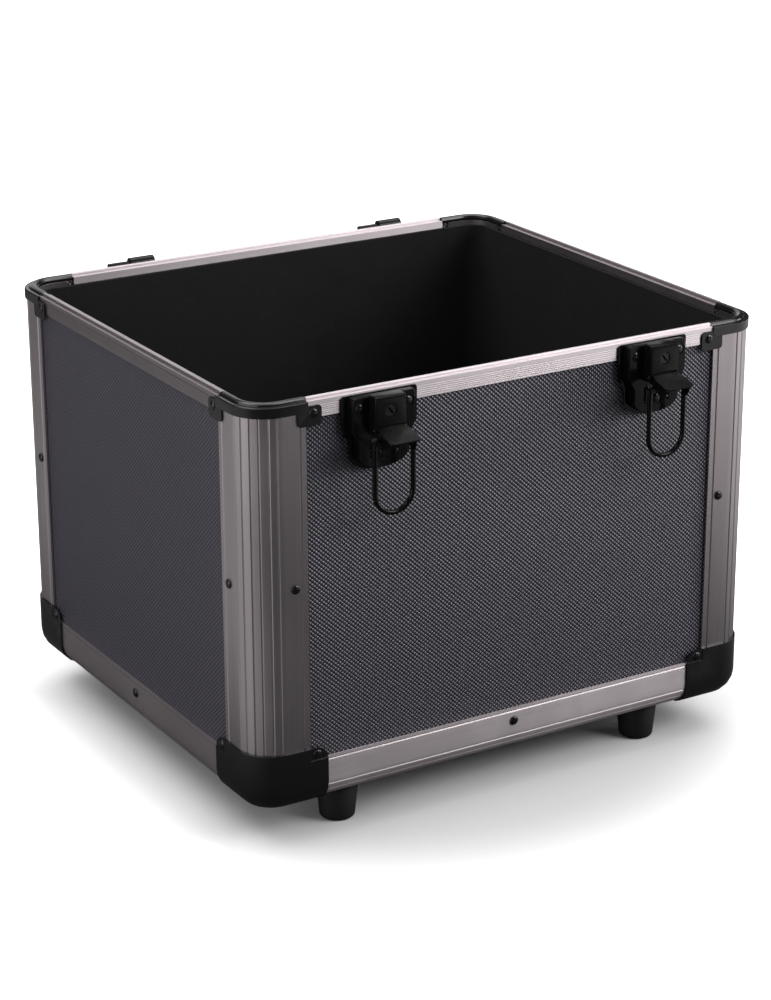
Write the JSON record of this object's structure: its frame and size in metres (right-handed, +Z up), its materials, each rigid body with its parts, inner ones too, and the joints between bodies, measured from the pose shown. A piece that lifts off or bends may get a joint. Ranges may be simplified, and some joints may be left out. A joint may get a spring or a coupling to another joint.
{
  "type": "record carrying case",
  "caption": "Square open carrying case for 12-inch records, with black panels in aluminium profiles, moulded corners, rubber feet and lockable draw latches; shown without its lid.",
  "frame": {"origin": "on the floor under the middle of the case's bounding box, with its latches and hinge halves counted", "axes": "+Z up, -Y towards the front wall with the latches, +X to the right seen from the front, along the longest side"},
  "size_m": [0.3786, 0.371, 0.29],
  "materials": {
    "profile_aluminium": "anodised in a warm grey, with fine grooves",
    "panel_laminate": "dark grey laminate embossed with a fine diamond pattern",
    "corner_plastic": "satin black moulding",
    "latch_black": "black powder coat on pressed steel",
    "rivet_black": "glossy black",
    "pin_steel": "blackened steel",
    "foot_rubber": "matt black rubber",
    "lining_foam": "black foam lining"
  },
  "bodies": {
    "case": {"front_panel": "panel_laminate", "right_panel": "panel_laminate", "back_panel": "panel_laminate", "left_panel": "panel_laminate", "wall_lining": "lining_foam", "base_panel": "panel_laminate", "floor_pad": "lining_foam", "corner_profile_front_left": "profile_aluminium", "corner_profile_front_right": "profile_aluminium", "corner_profile_back_right": "profile_aluminium", "corner_profile_back_left": "profile_aluminium", "base_profile_front": "profile_aluminium", "base_profile_right": "profile_aluminium", "base_profile_back": "profile_aluminium", "base_profile_left": "profile_aluminium", "rim_front": "profile_aluminium", "rim_right": "profile_aluminium", "rim_back": "profile_aluminium", "rim_left": "profile_aluminium", "top_cap_front_left": "corner_plastic", "top_cap_front_right": "corner_plastic", "top_cap_back_right": "corner_plastic", "top_cap_back_left": "corner_plastic", "ball_corner_front_left": "corner_plastic", "ball_corner_front_right": "corner_plastic", "ball_corner_back_right": "corner_plastic", "ball_corner_back_left": "corner_plastic", "foot_front_left": "foot_rubber", "foot_front_right": "foot_rubber", "foot_back_right": "foot_rubber", "foot_back_left": "foot_rubber", "base_rivet_front": "rivet_black", "base_rivet_right": "rivet_black", "base_rivet_back": "rivet_black", "base_rivet_left": "rivet_black", "corner_rivet_front_left": "rivet_black", "corner_rivet_front_right": "rivet_black", "corner_rivet_right_left": "rivet_black", "corner_rivet_right_right": "rivet_black", "corner_rivet_back_left": "rivet_black", "corner_rivet_back_right": "rivet_black", "corner_rivet_left_left": "rivet_black", "corner_rivet_left_right": "rivet_black", "hinge_leaf_left": "latch_black", "hinge_leaf_right": "latch_black", "latch_left_plate": "latch_black", "latch_left_housing": "latch_black", "latch_left_pivot_pin": "pin_steel", "latch_right_plate": "latch_black", "latch_right_housing": "latch_black", "latch_right_pivot_pin": "pin_steel"},
    "left_lever": {"latch_left_lever": "latch_black"},
    "left_bail_pin": {"latch_left_bail_pin": "pin_steel"},
    "left_bail": {"latch_left_bail": "latch_black"},
    "left_key_barrel": {"latch_left_key_barrel": "pin_steel"},
    "right_lever": {"latch_right_lever": "latch_black"},
    "right_bail_pin": {"latch_right_bail_pin": "pin_steel"},
    "right_bail": {"latch_right_bail": "latch_black"},
    "right_key_barrel": {"latch_right_key_barrel": "pin_steel"}
  },
  "joints": [
    {"name": "left_lever_pivot", "type": "hinge", "parent": "case", "child": "left_lever", "pos_m": [-0.0998, -0.16484, 0.2645], "axis": [1, 0, 0], "range_deg": [0, 75]},
    {"name": "left_bail_pin_turn", "type": "hinge", "parent": "left_lever", "child": "left_bail_pin", "pos_m": [-0.0998, -0.17074, 0.2604], "axis": [1, 0, 0], "range_deg": [-75, 0]},
    {"name": "left_bail_swing", "type": "hinge", "parent": "left_bail_pin", "child": "left_bail", "pos_m": [-0.0998, -0.17074, 0.2604], "axis": [1, 0, 0], "range_deg": [-180, 3]},
    {"name": "left_key_turn", "type": "hinge", "parent": "case", "child": "left_key_barrel", "pos_m": [-0.0998, -0.16464, 0.2765], "axis": [0, 1, 0], "range_deg": [0, 90]},
    {"name": "right_lever_pivot", "type": "hinge", "parent": "case", "child": "right_lever", "pos_m": [0.0998, -0.16484, 0.2645], "axis": [1, 0, 0], "range_deg": [0, 75]},
    {"name": "right_bail_pin_turn", "type": "hinge", "parent": "right_lever", "child": "right_bail_pin", "pos_m": [0.0998, -0.17074, 0.2604], "axis": [1, 0, 0], "range_deg": [-75, 0]},
    {"name": "right_bail_swing", "type": "hinge", "parent": "right_bail_pin", "child": "right_bail", "pos_m": [0.0998, -0.17074, 0.2604], "axis": [1, 0, 0], "range_deg": [-180, 3]},
    {"name": "right_key_turn", "type": "hinge", "parent": "case", "child": "right_key_barrel", "pos_m": [0.0998, -0.16464, 0.2765], "axis": [0, 1, 0], "range_deg": [0, 90]}
  ],
  "couplings": [
    {"joint": "left_bail_pin_turn", "follows": "left_lever_pivot", "ratio": -1},
    {"joint": "right_bail_pin_turn", "follows": "right_lever_pivot", "ratio": -1}
  ]
}
